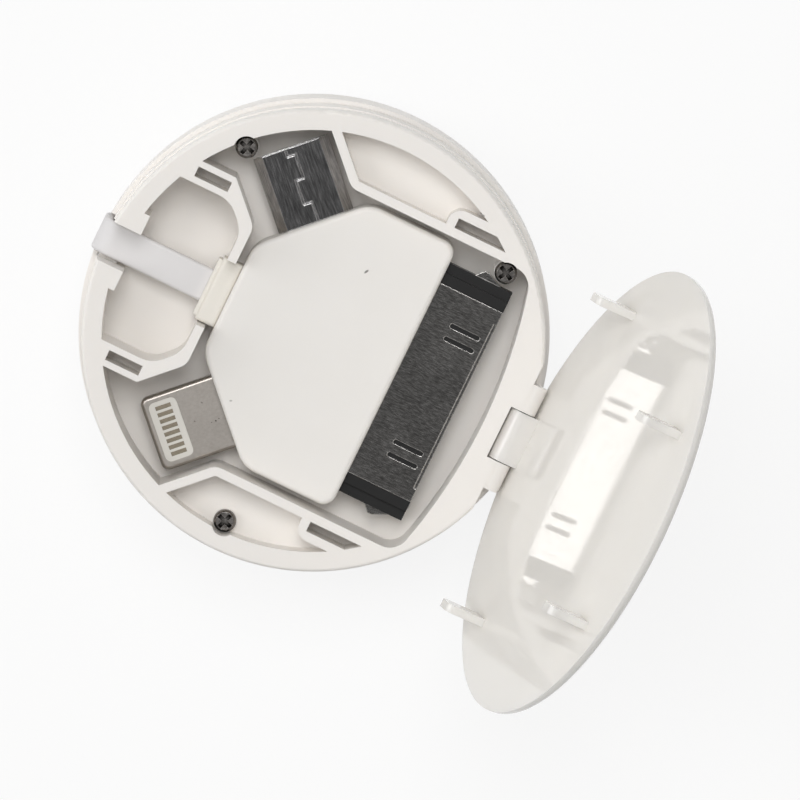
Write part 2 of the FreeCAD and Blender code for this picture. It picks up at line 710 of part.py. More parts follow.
# Screw notches and holes
pocket(tray, "screw_notches", [Disc(x, y, screw_notch) for x, y in screw_places],
       screw_drop, case_height)
pocket(tray, "screw_holes", [Disc(x, y, screw_shank + fit_gap) for x, y in screw_places],
       screw_seat - parting, screw_seat)

# Cable notch in the rim and the shallow channel below it
notch_floor = head_middle - ribbon_thickness / 2 - notch_under
pocket(tray, "cable_notch", [box(-skirt_radius - overcut, fit_gap - boss_in, -notch_half, notch_half)],
       case_height - notch_floor, case_height)
pocket(tray, "cable_channel", [channel], notch_floor - parting, notch_floor)

# Hinge: the rim is cut flat, lugs stand on the flat, the knuckle has room between them
lug_in = knuckle_half + lug_gap
lug_out = lug_in + lug_width
pocket(tray, "hinge_flat_cut", [box(hinge_flat, skirt_radius + overcut, -rim_inner / 2, rim_inner / 2)],
       hinge_cut, case_height)
lug_root = hinge_flat - hinge_barrel / 2
lug = [
    (hinge_x + hinge_barrel, hinge_z),
    Arc(hinge_barrel),
    (hinge_x, hinge_z + hinge_barrel),
    (lug_root, hinge_z + hinge_barrel),
    (lug_root, hinge_z - hinge_barrel),
    (hinge_x, hinge_z - hinge_barrel),
    Arc(hinge_barrel),
]
pad(tray, "lug_front", [lug], lug_width, lug_in, "XZ_Plane")
pad(tray, "lug_back", [lug], lug_width, -lug_out, "XZ_Plane")
knuckle_cut = hinge_x - hinge_barrel - knuckle_room
pocket(tray, "knuckle_cut", [box(knuckle_cut, skirt_radius + overcut, -lug_in, lug_in)],
       hinge_cut, case_height)
pocket(tray, "pin_hole", [Disc(hinge_x, hinge_z, pin_radius)],
       lug_out * 2, -lug_out, "XZ_Plane", up=True)

# The ratchet ball slides in a slot under the tray floor
ball_room = ball_radius + track_gap
pocket(tray, "ball_slot", [box(-ball_room, ball_room, track_radius - ball_room,
                               track_radius + ball_travel + ball_room)],
       ball_lift + track_gap, parting, up=True)

# Lid, modelled closed and then swung open about the hinge
lid = new_body("lid")
lid_low = case_height + lid_gap
crown_radius = (lid_radius * lid_radius + lid_crown * lid_crown) / (2 * lid_crown)
revolve(lid, "lid_turn", [
    (0, lid_low),
    (lid_radius, lid_low),
    (lid_radius, lid_low + lid_edge),
    Arc(crown_radius),
    (0, lid_low + lid_edge + lid_crown),
])
fillet(lid, "lid_rounding", level_edges(lid.Tip.Shape, lid_low + lid_edge), lid_round)
knuckle_top = lid_low + lid_edge / 2
pad(lid, "knuckle", [[
    (hinge_x + hinge_barrel, hinge_z),
    Arc(hinge_barrel),
    (hinge_x, hinge_z + hinge_barrel),
    (hinge_x, knuckle_top),
    (hinge_x - hinge_barrel, knuckle_top),
    (hinge_x - hinge_barrel, hinge_z),
    Arc(hinge_barrel),
    (hinge_x, hinge_z - hinge_barrel),
    Arc(hinge_barrel),
]], knuckle_half * 2, -knuckle_half, "XZ_Plane")
pocket(lid, "knuckle_bore", [Disc(hinge_x, hinge_z, pin_radius + pin_clearance)],
       knuckle_half * 2, -knuckle_half, "XZ_Plane", up=True)
peg_side = (peg_slot_width - peg_thickness) / 2
far_peg_x = -far_slot_start - peg_back_gap
near_peg_x = near_slot_start + near_peg_shift
far_peg = box(far_peg_x - peg_width, far_peg_x,
              far_slot_y + peg_side, far_slot_y + peg_side + peg_thickness)
near_peg = box(near_peg_x, near_peg_x + peg_width,
               rib_outer + peg_side, rib_outer + peg_side + peg_thickness)
pad(lid, "pegs", both_sides(far_peg) + both_sides(near_peg),
    peg_length + lid_edge / 4, lid_low - peg_length)
tip_edges = level_edges(lid.Tip.Shape, lid_low - peg_length,
                        lambda edge: edge.BoundBox.XLength < 1e-3)
fillet(lid, "peg_rounding", tip_edges, peg_round)
swing = Rotation(Vector(0, 1, 0), lid_angle.value)
hinge_point = Vector(hinge_x.value, 0, hinge_z.value)
lid.Placement = Placement(hinge_point - swing.multVec(hinge_point), swing)

# Hinge pin
pin = doc.addObject("Part::Cylinder", "hinge_pin")
pin.Label = "hinge_pin"
bind(pin, "Radius", pin_radius)
bind(pin, "Height", (lug_out - pin_inset) * 2)
pin.Placement = Placement(Vector(0, 0, 0), Rotation(Vector(1, 0, 0), 90))
bind(pin, "Placement.Base.x", hinge_x)
bind(pin, "Placement.Base.y", lug_out - pin_inset)
bind(pin, "Placement.Base.z", hinge_z)

# Tray screws with a cross recess
arm = screw_cross_span / 2
slit = screw_cross / 2
cross = [(arm, -slit), (arm, slit), (slit, slit), (slit, arm), (-slit, arm), (-slit, slit),
         (-arm, slit), (-arm, -slit), (-slit, -slit), (-slit, -arm), (slit, -arm), (slit, -slit)]
screws = []
for letter, (x, y), angle in zip("abc", screw_places, SCREW_TURNS):
    screw = new_body("tray_screw_" + letter)
    revolve(screw, screw.Name + "_turn", [
        (0, -screw_length),
        (screw_shank, -screw_length),
        (screw_shank, 0),
        (screw_head, 0),
        (screw_head, screw_head_height / 2),
        Arc(screw_head_height),
        (screw_crown, screw_head_height),
        (0, screw_head_height),
    ])
    pocket(screw, screw.Name + "_cross", [cross], screw_cross_depth, screw_head_height)
    put(screw, x, y, screw_seat, angle)
    screws.append(screw)

# Reel: drum between two flanges, with the ratchet track on its upper face
reel = new_body("reel")
drum_inner = drum_radius - drum_wall
bore = post_radius + post_clearance
revolve(reel, "reel_turn_profile", [
    (bore, coil_top),
    (drum_inner, coil_top),
    (drum_inner, reel_bottom),
    (reel_flange, reel_bottom),
    (reel_flange, coil_bottom),
    (drum_radius, coil_bottom),
    (drum_radius, coil_top),
    (reel_flange, coil_top),
    (reel_flange, coil_top + flange_top),
    (hub_radius, coil_top + flange_top),
    (hub_radius, reel_top),
    (bore, reel_top),
])
ball_z = parting + ball_lift - ball_radius
track_depth = reel_top - ball_z + ball_radius + track_gap / 2
track_sketch = [Disc(0, 0, track_radius + ball_room), Disc(0, 0, track_radius - ball_room)]
pocket(reel, "ratchet_track", track_sketch, track_depth, reel_top)
catch_end = track_radius + ball_travel
catch = pocket(reel, "ratchet_catch", [[
    (-ball_room, track_radius),
    (ball_room * 3, track_radius),
    (ball_room, catch_end),
    Arc(ball_room),
    (0, catch_end + ball_room),
    Arc(ball_room),
    (-ball_room, catch_end),
]], track_depth, reel_top)
catches = reel.newObject("PartDesign::PolarPattern", "ratchet_catches")
catches.Originals = [catch]
catches.Axis = (catch.Profile[0], ["N_Axis"])
catches.Angle = 360
catches.Occurrences = RATCHET_POCKETS
reel.Tip = catches
doc.recompute()

# Ribbon wound on the drum
wound = new_body("wound_ribbon")
revolve(wound, "wound_turn", box(drum_radius, coil_radius, coil_bottom, coil_top))

# Ratchet ball in its track
ball = doc.addObject("Part::Sphere", "ratchet_ball")
ball.Label = "ratchet_ball"
bind(ball, "Radius", ball_radius)
bind(ball, "Placement.Base.y", track_radius)
bind(ball, "Placement.Base.z", ball_z)


def spiral_spring():
    """A strip wound in half circles whose centres alternate, with a tang in the post."""
    strip = spring_thickness.value
    step = spring_pitch.value / 2
    start = post_radius.value + 2 * fit_gap.value
    inner, outer = [], []
    for half_turn in range(int(round(spring_turns.value * 2))):
        radius = start + half_turn * step
        centre = Vector(step * (half_turn % 2), 0, 0)
        side = 1 if half_turn % 2 == 0 else -1
        for edges, r in ((inner, radius), (outer, radius + strip)):
            ends = [centre + Vector(side * r, 0, 0), centre + Vector(-side * r, 0, 0)]
            edges.append(Part.Arc(ends[0], centre + Vector(0, side * r, 0), ends[1]).toShape())
    first = Part.LineSegment(outer[0].Vertexes[0].Point, inner[0].Vertexes[0].Point).toShape()
    last = Part.LineSegment(inner[-1].Vertexes[-1].Point, outer[-1].Vertexes[-1].Point).toShape()
    band = Part.Face(Part.Wire(Part.__sortEdges__([first] + inner + [last] + outer)))
    tang = Part.makePlane(start + strip - spring_tang.value, strip,
                          Vector(spring_tang.value, -strip, 0))
    low = (reel_bottom + spring_room).value
    high = (coil_top - spring_room).value
    height = Vector(0, 0, high - low)
    solid = band.extrude(height).fuse(tang.extrude(height)).removeSplitter()
    solid.translate(Vector(0, 0, low))
    return solid.Solids[0]


spring = doc.addObject("Part::Feature", "reel_spring")
spring.Label = "reel_spring"
spring.Shape = spiral_spring()

# Ribbon from the head over the rim notch, down the outside and into the mouth
lead = new_body("lead_ribbon")
half = ribbon_thickness / 2
turn_x = ribbon_bend - ribbon_out
outer_bend = Arc(ribbon_bend + half)
inner_bend = Arc(ribbon_bend - half, hollow=True)
lead_start = root_depth - head_back
lead_end = -reel_flange - reel_gap
upper_z = head_middle - ribbon_bend
lower_z = mouth_z + ribbon_bend
pad(lead, "lead_band", [[
    (lead_start, head_middle + half),
    (turn_x, head_middle + half),
    outer_bend,
    (-ribbon_out - half, upper_z),
    (-ribbon_out - half, lower_z),
    outer_bend,
    (turn_x, mouth_z - half),
    (lead_end, mouth_z - half),
    (lead_end, mouth_z + half),
    (turn_x, mouth_z + half),
    inner_bend,
    (half - ribbon_out, lower_z),
    (half - ribbon_out, upper_z),
    inner_bend,
    (turn_x, head_middle - half),
    (lead_start, head_middle - half),
]], ribbon_width, -ribbon_width / 2, "XZ_Plane")
lead_edges = []
for number, edge in enumerate(lead.Tip.Shape.Edges):
    extent = edge.BoundBox
    cut_end = extent.XLength < 1e-3 and extent.XMin > turn_x.value
    if extent.YLength < 1e-3 and not cut_end:
        lead_edges.append("Edge%d" % (number + 1))
fillet(lead, "lead_rounding", lead_edges, ribbon_round)


def head_outline(inset):
    """The head's hexagon, drawn in by an inset."""
    inset = size_of(inset)
    nip = inset * math.tan(math.radians(22.5))
    corner = head_slant * math.sqrt(2)
    front_x = head_front - inset
    top_y = head_half - inset
    back_x = inset - head_back
    back_y = corner - head_back - nip
    bend_x = head_half - corner + nip
    return [(front_x, -top_y), (front_x, top_y), (bend_x, top_y), (back_x, back_y),
            (back_x, -back_y), (bend_x, -top_y)]


def head_rounding(body, name, level):
    corners = head_outline(0)
    fillet(body, name + "_front", upright_edges(body.Tip.Shape, corners[:2]), head_front_round)
    fillet(body, name + "_sides", upright_edges(body.Tip.Shape, corners[2:]), head_side_round)
    fillet(body, name + "_edge", level_edges(body.Tip.Shape, level), head_edge_round)


def slanted(along, across, lower):
    """A point beside a plug axis: lower for the blade plug, otherwise the micro plug."""
    c = math.sqrt(0.5)
    x = (across - along) * c
    y = (along + across) * c
    return (x, -y) if lower else (x, y)


def slanted_room(width, lower):
    low = side_offset - width / 2 - root_gap
    high = side_offset + width / 2 + root_gap
    start = side_wall - root_depth - root_gap
    end = side_wall + overcut
    ring = [slanted(end, low, lower), slanted(end, high, lower),
            slanted(start, high, lower), slanted(start, low, lower)]
    return ring if lower else ring[::-1]


def head_shell(name, top):
    """One half of the head: a rounded tray with room for board, plug roots and relief."""
    body = new_body(name)
    depth = head_height / 2
    pad(body, name + "_block", [head_outline(0)], depth, 0, down=not top)
    head_rounding(body, name, depth if top else -depth)
    pocket(body, name + "_hollow", [head_outline(head_wall)], depth - head_wall, 0, up=top)
    front = head_front - root_depth - root_gap
    dock_room = box(front, head_front + overcut, -dock_root_half - root_gap, dock_root_half + root_gap)
    pocket(body, name + "_dock_room", [dock_room], dock_root_height / 2 + root_gap, 0, up=top)
    pocket(body, name + "_blade_room", [slanted_room(blade_root_width, True)],
           blade_root_height / 2 + root_gap, 0, up=top)
    pocket(body, name + "_micro_room", [slanted_room(micro_root_width, False)],
           micro_root_height / 2 + root_gap, 0, up=top)
    back = root_depth + root_gap - head_back
    relief_room = box(-head_back - overcut, back, -relief_nose - root_gap, relief_nose + root_gap)
    pocket(body, name + "_relief_room", [relief_room], relief_nose_height / 2 + root_gap, 0, up=top)
    put(body, z=head_middle)
    return body


head_top = head_shell("head_top_shell", True)
head_bottom = head_shell("head_bottom_shell", False)

# Circuit board between the plug roots
board = new_body("head_board")
pad(board, "board_plate", [head_outline(root_depth)], board_thickness, -board_thickness / 2)
put(board, z=head_middle)

# Strain relief with a narrower nose and root, moulded round the ribbon
relief = new_body("strain_relief")
relief_end = -head_back - relief_length
pad(relief, "relief_collar", [box(relief_end + relief_step, -head_back, -relief_half, relief_half)],
    relief_height, -relief_height / 2)
pad(relief, "relief_nose", [box(relief_end, root_depth - head_back, -relief_nose, relief_nose)],
    relief_nose_height, -relief_nose_height / 2)
relief_edges = []
for level in (relief_height / 2, -relief_height / 2):
    relief_edges += level_edges(relief.Tip.Shape, level)
fillet(relief, "relief_rounding", relief_edges, relief_round)
relief_bore = box(-ribbon_width / 2 - root_gap, ribbon_width / 2 + root_gap,
                  -half - root_gap, half + root_gap)
pocket(relief, "relief_bore", [relief_bore], head_back + relief_length, 0, "YZ_Plane")
put(relief, z=head_middle)

# Dock plug: black core with its root, the mouth and the latch rooms
core = new_body("dock_plug_core")
sheet_inner = dock_height / 2 - dock_sheet
pad(core, "core_block", [box(head_front, dock_front, -dock_half, dock_half)],
    sheet_inner * 2, -sheet_inner)
core_ends = [box(head_front, dock_front, dock_shell_half, dock_half),
             box(head_front, dock_front, -dock_half, -dock_shell_half)]
pad(core, "core_ends", core_ends, dock_height - dock_sheet, dock_sheet / 2 - dock_height / 2)
end_top = (dock_height - dock_sheet) / 2
shoulder = box(head_front, dock_front + overcut, dock_half - dock_shoulder, dock_half + overcut)
pocket(core, "core_shoulders", both_sides(shoulder), dock_shoulder_drop, end_top)
pocket(core, "core_low_shoulders", both_sides(shoulder), dock_shoulder_drop, -end_top, up=True)
pad(core, "core_root", [box(head_front - root_depth, head_front, -dock_root_half, dock_root_half)],
    dock_root_height, -dock_root_height / 2)
pocket(core, "core_mouth", [box(-dock_mouth_half, dock_mouth_half,
                                -dock_mouth_height / 2, dock_mouth_height / 2)],
       dock_mouth_depth, dock_front, "YZ_Plane")
side_slot = box(head_front + dock_side_start, dock_front + overcut,
                dock_shell_half - dock_sheet, dock_shell_half)
pocket(core, "core_side_slots", both_sides(side_slot), dock_height, dock_height / 2)
latch_bottom = dock_half - latch_seat - latch_travel - latch_gap
latch_room = box(latch_x - latch_half - latch_gap, latch_x + latch_half + latch_gap,
                 latch_bottom, dock_half + overcut)
pocket(core, "core_latch_rooms", both_sides(latch_room), latch_height + latch_gap * 2,
       latch_height / 2 + latch_gap)
put(core, z=head_middle)


def long_slot(x0, x1, y, half_width):
    """A slot along X with round ends, each end in two quarter arcs."""
    quarter = Arc(half_width)
    return [(x0 + half_width, y - half_width), (x1 - half_width, y - half_width), quarter,
            (x1, y), quarter, (x1 - half_width, y + half_width),
            (x0 + half_width, y + half_width), quarter, (x0, y), quarter]


# Metal shell of the dock plug, a folded sleeve with two pairs of slots
sleeve = new_body("dock_plug_shell")
sleeve_half = dock_height / 2
sleeve_in = dock_shell_half - dock_sheet
pad(sleeve, "sleeve", [box(-dock_shell_half, dock_shell_half, -sleeve_half, sleeve_half),
                       box(-sleeve_in, sleeve_in, -sheet_inner, sheet_inner)],
    dock_front - head_front, head_front, "YZ_Plane")
pocket(sleeve, "sleeve_side_start", [box(head_front, head_front + dock_side_start,
                                         -dock_shell_half, dock_shell_half)],
       sheet_inner * 2, sheet_inner)
slot_end = dock_slot_start + dock_slot_length
slots = []
for side in (1, -1):
    for place in (-0.5, 0.5):
        slot_y = dock_slot_centre * side + dock_slot_pitch * place
        slots.append(long_slot(dock_slot_start, slot_end, slot_y, dock_slot_width / 2))
pocket(sleeve, "sleeve_slots", slots, dock_sheet, sleeve_half)
pocket(sleeve, "sleeve_lip", [box(dock_front - dock_lip, dock_front + overcut,
                                  -dock_lip_half, dock_lip_half)], dock_lip_drop, sleeve_half)
put(sleeve, z=head_middle)

# Contacts in the mouth of the dock plug
dock_pins = new_body("dock_contacts")
dock_pins.AllowCompound = True
first_pin = dock_pin_pitch * (-(DOCK_PINS - 1) / 2)
pin_start = dock_front - dock_mouth_depth
dock_pin = pad(dock_pins, "dock_pin", [box(pin_start, dock_front - dock_pin_back,
                                           first_pin - dock_pin_width / 2,
                                           first_pin + dock_pin_width / 2)],
               dock_pin_height, -dock_mouth_height / 2)
row(dock_pins, dock_pin, "V_Axis", dock_pin_pitch * (DOCK_PINS - 1), DOCK_PINS)
put(dock_pins, z=head_middle)


def latch_hook(name, side):
    """A sprung hook with a slanted front, at one end of the dock plug."""
    body = new_body(name)
    outline = [
        (latch_x - latch_half, dock_half - latch_seat),
        (latch_x + latch_half, dock_half - latch_seat),
        (latch_x + latch_half, dock_half),
        (latch_x - latch_half / 6, dock_half + latch_rise),
        (latch_x - latch_half / 2, dock_half + latch_rise),
        (latch_x - latch_half, dock_half),
    ]
    pad(body, name + "_hook", [both_sides(outline)[0 if side > 0 else 1]],
        latch_height, -latch_height / 2)
    put(body, z=head_middle)
    return body


latch_left = latch_hook("dock_latch_left", 1)
latch_right = latch_hook("dock_latch_right", -1)


def put_slanted(body, lower):
    """Turns a side plug from the X axis onto its diagonal."""
    c = math.sqrt(0.5)
    across = side_offset * c
    put(body, across, -across if lower else across, head_middle, 225 if lower else 135)


# Blade plug: solid metal body with a pale contact pad
blade = new_body("blade_plug_body")
pad(blade, "blade_block", [box(side_wall, blade_tip, -blade_width / 2, blade_width / 2)],
    blade_height, -blade_height / 2)
blade_corners = [(blade_tip, blade_width / 2), (blade_tip, -blade_width / 2)]
fillet(blade, "blade_corners", upright_edges(blade.Tip.Shape, blade_corners), blade_corner)
rims = []
for level in (blade_height / 2, -blade_height / 2):
    rims += level_edges(blade.Tip.Shape, level,
                        lambda edge: edge.BoundBox.XMax > side_wall.value + 0.1)
fillet(blade, "blade_edges", rims, blade_edge)
pad(blade, "blade_root", [box(side_wall - root_depth, side_wall,
                              -blade_root_width / 2, blade_root_width / 2)],
    blade_root_height, -blade_root_height / 2)
pad_box = box(pad_start, pad_start + pad_length, -pad_width / 2, pad_width / 2)
pocket(blade, "blade_pad_room", [pad_box], pad_depth, blade_height / 2)
room_corners = [(x, y) for x, y in pad_box]
fillet(blade, "blade_pad_corners", upright_edges(blade.Tip.Shape, room_corners), pad_corner)
put_slanted(blade, True)

insert = new_body("blade_plug_insert")
pad(insert, "insert_block", [pad_box], pad_depth, blade_height / 2 - pad_depth)
fillet(insert, "insert_corners", upright_edges(insert.Tip.Shape, room_corners), pad_corner)
pin_middle = pad_start + pad_length / 2
first_blade_pin = blade_pin_pitch * (-(BLADE_PINS - 1) / 2)
blade_pin_box = box(pin_middle - blade_pin_length / 2, pin_middle + blade_pin_length / 2,
                    first_blade_pin - blade_pin_width / 2, first_blade_pin + blade_pin_width / 2)
pin_room = pocket(insert, "insert_pin_room", [blade_pin_box], blade_pin_depth, blade_height / 2)
row(insert, pin_room, "V_Axis", blade_pin_pitch * (BLADE_PINS - 1), BLADE_PINS)
put_slanted(insert, True)

blade_pins = new_body("blade_contacts")
blade_pins.AllowCompound = True
blade_pin = pad(blade_pins, "blade_pin", [blade_pin_box], blade_pin_depth,
                blade_height / 2 - blade_pin_depth)
row(blade_pins, blade_pin, "V_Axis", blade_pin_pitch * (BLADE_PINS - 1), BLADE_PINS)
put_slanted(blade_pins, True)


def micro_section(inset):
    """Section of the micro plug's shell, the chamfered side up."""
    inset = size_of(inset)
    wide = micro_width / 2 - inset
    tall = micro_height / 2 - inset
    nip = inset * math.tan(math.radians(22.5))
    narrow = micro_width / 2 - micro_chamfer - nip
    shoulder = micro_height / 2 - micro_chamfer - nip
    return [(-wide, -tall), (wide, -tall), (wide, shoulder), (narrow, tall),
            (-narrow, tall), (-wide, shoulder)]


def stepped_band(levels, crossings, start, end):
    """Outline of the seam, a narrow band that steps up and down along the plug."""
    half_band = seam_width / 2
    below = [(start, levels[0] - half_band)]
    above = [(start, levels[0] + half_band)]
    for number, x in enumerate(crossings):
        shift = half_band if number % 2 == 0 else -half_band
        for level in levels[number:number + 2]:
            below.append((x + shift, level - half_band))
            above.append((x - shift, level + half_band))
    below.append((end, levels[-1] - half_band))
    above.append((end, levels[-1] + half_band))
    return below + above[::-1]


# Micro plug: a folded sheet shell with a stepped seam and windows for the latch hooks
micro = new_body("micro_plug_shell")
pad(micro, "micro_tube", [micro_section(0), micro_section(micro_sheet)],
    micro_tip - side_wall, side_wall, "YZ_Plane")
seam_crossings = [side_wall + seam_first + seam_step * number for number in range(3)]
seam_levels = [seam_middle + seam_swing * sign for sign in (-1, 1, -1, 1)]
pocket(micro, "micro_seam", [stepped_band(seam_levels, seam_crossings, side_wall, micro_tip)],
       seam_depth, micro_height / 2)
hook_room = box(hook_start - hook_gap, hook_start + hook_length + hook_gap,
                hook_offset - hook_width / 2 - hook_gap, hook_offset + hook_width / 2 + hook_gap)
pocket(micro, "micro_windows", both_sides(hook_room), micro_sheet,
       micro_sheet - micro_height / 2)
put_slanted(micro, False)

# Core of the micro plug: it fills the rear of the shell and carries the tongue
micro_core = new_body("micro_plug_core")
pad(micro_core, "micro_fill_block", [micro_section(micro_sheet)], micro_fill, side_wall, "YZ_Plane")
pad(micro_core, "micro_root", [box(side_wall - root_depth, side_wall,
                                   -micro_root_width / 2, micro_root_width / 2)],
    micro_root_height, -micro_root_height / 2)
fill_end = side_wall + micro_fill
tongue_end = micro_tip - micro_tongue_back
tongue_top = micro_height / 2 - micro_sheet
pad(micro_core, "micro_tongue", [box(fill_end, tongue_end, -micro_tongue_width / 2,
                                     micro_tongue_width / 2)],
    tongue_top - micro_tongue_low, micro_tongue_low)
micro_first = micro_pin_pitch * (-(MICRO_PINS - 1) / 2)
micro_pin_box = box(fill_end, tongue_end, micro_first - micro_pin_width / 2,
                    micro_first + micro_pin_width / 2)
micro_room = pocket(micro_core, "micro_pin_room", [micro_pin_box], micro_pin_depth,
                    micro_tongue_low, up=True)
row(micro_core, micro_room, "V_Axis", micro_pin_pitch * (MICRO_PINS - 1), MICRO_PINS)
put_slanted(micro_core, False)

micro_pins = new_body("micro_contacts")
micro_pins.AllowCompound = True
micro_pin = pad(micro_pins, "micro_pin", [micro_pin_box], micro_pin_depth, micro_tongue_low)
row(micro_pins, micro_pin, "V_Axis", micro_pin_pitch * (MICRO_PINS - 1), MICRO_PINS)
put_slanted(micro_pins, False)

# Latch of the micro plug: two springs on one bar, with hooks through the shell's windows
hooks = new_body("micro_latch")
spring_low = micro_sheet + fit_gap - micro_height / 2
bar_end = fill_end + hook_gap + hook_width
hook_out = hook_offset + hook_width / 2
pad(hooks, "hook_bar", [box(fill_end + hook_gap, bar_end, -hook_out, hook_out)],
    hook_sheet, spring_low)
pad(hooks, "hook_springs", both_sides(box(fill_end + hook_gap, hook_start + hook_length,
                                          hook_offset - hook_width / 2, hook_out)),
    hook_sheet, spring_low)
hook_low = -micro_height / 2 - hook_rise
pad(hooks, "hook_tips", both_sides(box(hook_start, hook_start + hook_length,
                                       hook_offset - hook_width / 2, hook_out)),
    spring_low - hook_low, hook_low)
put_slanted(hooks, False)

# Every piece is checked, then written
doc.recompute()
pieces = [base, tray, lid, pin] + screws + [
    reel, spring, ball, wound, lead, head_top, head_bottom, board, relief, core, sleeve,
    dock_pins, latch_left, latch_right, blade, insert, blade_pins, micro, micro_core,
    micro_pins, hooks]
for item in doc.Objects:
    if "Invalid" in item.State or "Error" in item.State:
        raise RuntimeError("%s failed: %s" % (item.Name, item.State))
for piece in pieces:
    if piece.Shape.isNull() or not piece.Shape.isValid() or not piece.Shape.Solids:
        raise RuntimeError("%s has no valid shape" % piece.Label)
os.makedirs("parts", exist_ok=True)
for piece in pieces:
    piece.Shape.exportStep("parts/%s.step" % piece.Label)
    bounds = piece.Shape.BoundBox
    print("%-20s %2d solids %9.2f mm3  x %7.2f %7.2f  y %7.2f %7.2f  z %6.2f %6.2f" % (
        piece.Label, len(piece.Shape.Solids), piece.Shape.Volume, bounds.XMin, bounds.XMax,
        bounds.YMin, bounds.YMax, bounds.ZMin, bounds.ZMax))
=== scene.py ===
# Retractable cable charger: finishes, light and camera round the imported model.
import math

import bmesh
import bpy
from mathutils import Matrix, Vector

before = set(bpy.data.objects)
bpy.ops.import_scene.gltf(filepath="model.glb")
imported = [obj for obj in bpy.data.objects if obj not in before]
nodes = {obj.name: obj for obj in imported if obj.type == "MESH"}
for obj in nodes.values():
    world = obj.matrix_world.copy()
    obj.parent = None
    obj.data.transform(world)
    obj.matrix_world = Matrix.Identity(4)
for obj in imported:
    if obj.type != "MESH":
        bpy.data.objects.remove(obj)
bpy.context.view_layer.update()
MM = 0.001

# Sizes of the soft noise in mm: flow marks in plastic, clouds on metal
MOTTLE_SIZE = 7
CLOUD_SIZE = 3
PLASTIC_IOR = 1.52
# How far the gloss of plastic strays from its mean
PLASTIC_VARY = 0.15
BEVEL_SAMPLES = 6
# Samples for the painted shade in recesses of metal
RECESS_SHADE_SAMPLES = 8
# The last colour is the painted shade in recesses of metal; the other two are dirt
PLASTIC_DIRT, METAL_DIRT, RECESS_SHADE = "#5B5650", "#2B2825", "#161412"


def linear(hex_colour):
    """Turns an sRGB hex colour into the linear one that the shaders take."""
    parts = [int(hex_colour[i:i + 2], 16) / 255 for i in (1, 3, 5)]
    return [c / 12.92 if c <= 0.04045 else ((c + 0.055) / 1.055) ** 2.4 for c in parts] + [1]


def add(tree, kind, inputs=None, **settings):
    """Adds one node; an input is a value or the output that it is linked to."""
    node = tree.nodes.new(kind)
    for name, value in settings.items():
        setattr(node, name, value)
    for socket, value in (inputs or {}).items():
        if isinstance(value, bpy.types.NodeSocket):
            tree.links.new(value, node.inputs[socket])
        else:
            node.inputs[socket].default_value = value
    return node


def mix_colours(tree, share, first, second):
    """The first colour with a share of the second; 6, 7 and 2 are the node's colour sockets."""
    node = add(tree, "ShaderNodeMix", {0: share, 6: first, 7: second}, data_type="RGBA")
    return node.outputs[2]


def new_finish(name, sockets):
    """A material with its even values on the shader's own sockets."""
    finish = bpy.data.materials.new(name)
    finish.use_nodes = True
    shader = finish.node_tree.nodes["Principled BSDF"]
    for socket, value in sockets.items():
        shader.inputs[socket].default_value = value
    return finish, finish.node_tree, shader


def speckled(tree, where, colour, dark, specks):
    """Lays dark marks on a colour: x, y, length, width in mm, turn in degrees, strength."""
    for x, y, length, width, turn, strength in specks:
        place = add(tree, "ShaderNodeMapping", {
            "Vector": where, "Location": (x * MM, y * MM, 0),
            "Rotation": (0, 0, math.radians(turn)),
            "Scale": (length * MM / 2, width * MM / 2, 1)}, vector_type="TEXTURE")
        flat = add(tree, "ShaderNodeVectorMath", {0: place.outputs[0], 1: (1, 1, 0)},
                   operation="MULTIPLY")
        reach = add(tree, "ShaderNodeVectorMath", {0: flat.outputs[0]}, operation="LENGTH")
        mark = add(tree, "ShaderNodeMapRange", {
            "Value": reach.outputs["Value"], "From Min": 0.5, "From Max": 1.0,
            "To Min": strength, "To Max": 0.0})
        colour = mix_colours(tree, mark.outputs[0], colour, linear(dark))
    return colour


def moulded(name, colour, shade, rough, grain, depth, edge=0.12, specks=(), sockets=None):
    """Injection-moulded plastic: faint flow mottling, fine tool grain, edges softened by edge.

    Grain, depth and edge are in mm.
    """
    finish, tree, shader = new_finish(name, {"IOR": PLASTIC_IOR, **(sockets or {})})
    where = add(tree, "ShaderNodeTexCoord").outputs["Object"]
    mottle = add(tree, "ShaderNodeTexNoise", {
        "Vector": where, "Scale": 1 / (MOTTLE_SIZE * MM), "Detail": 3})
    tint = mix_colours(tree, mottle.outputs[0], linear(colour), linear(shade))
    tint = speckled(tree, where, tint, PLASTIC_DIRT, specks)
    tree.links.new(tint, shader.inputs["Base Color"])
    fine = add(tree, "ShaderNodeTexNoise", {
        "Vector": where, "Scale": 1 / (grain * MM), "Detail": 4})
    gloss = add(tree, "ShaderNodeMapRange", {
        "Value": mottle.outputs[0], "From Min": 0.3, "From Max": 0.7,
        "To Min": rough * (1 - PLASTIC_VARY), "To Max": rough * (1 + PLASTIC_VARY)})
    tree.links.new(gloss.outputs[0], shader.inputs["Roughness"])
    bump = add(tree, "ShaderNodeBump", {
        "Height": fine.outputs[0], "Strength": 1.0, "Distance": depth * MM})
    if edge:
        round_edge = add(tree, "ShaderNodeBevel", {"Radius": edge * MM}, samples=BEVEL_SAMPLES)
        tree.links.new(round_edge.outputs[0], bump.inputs["Normal"])
    tree.links.new(bump.outputs[0], shader.inputs["Normal"])
    return finish


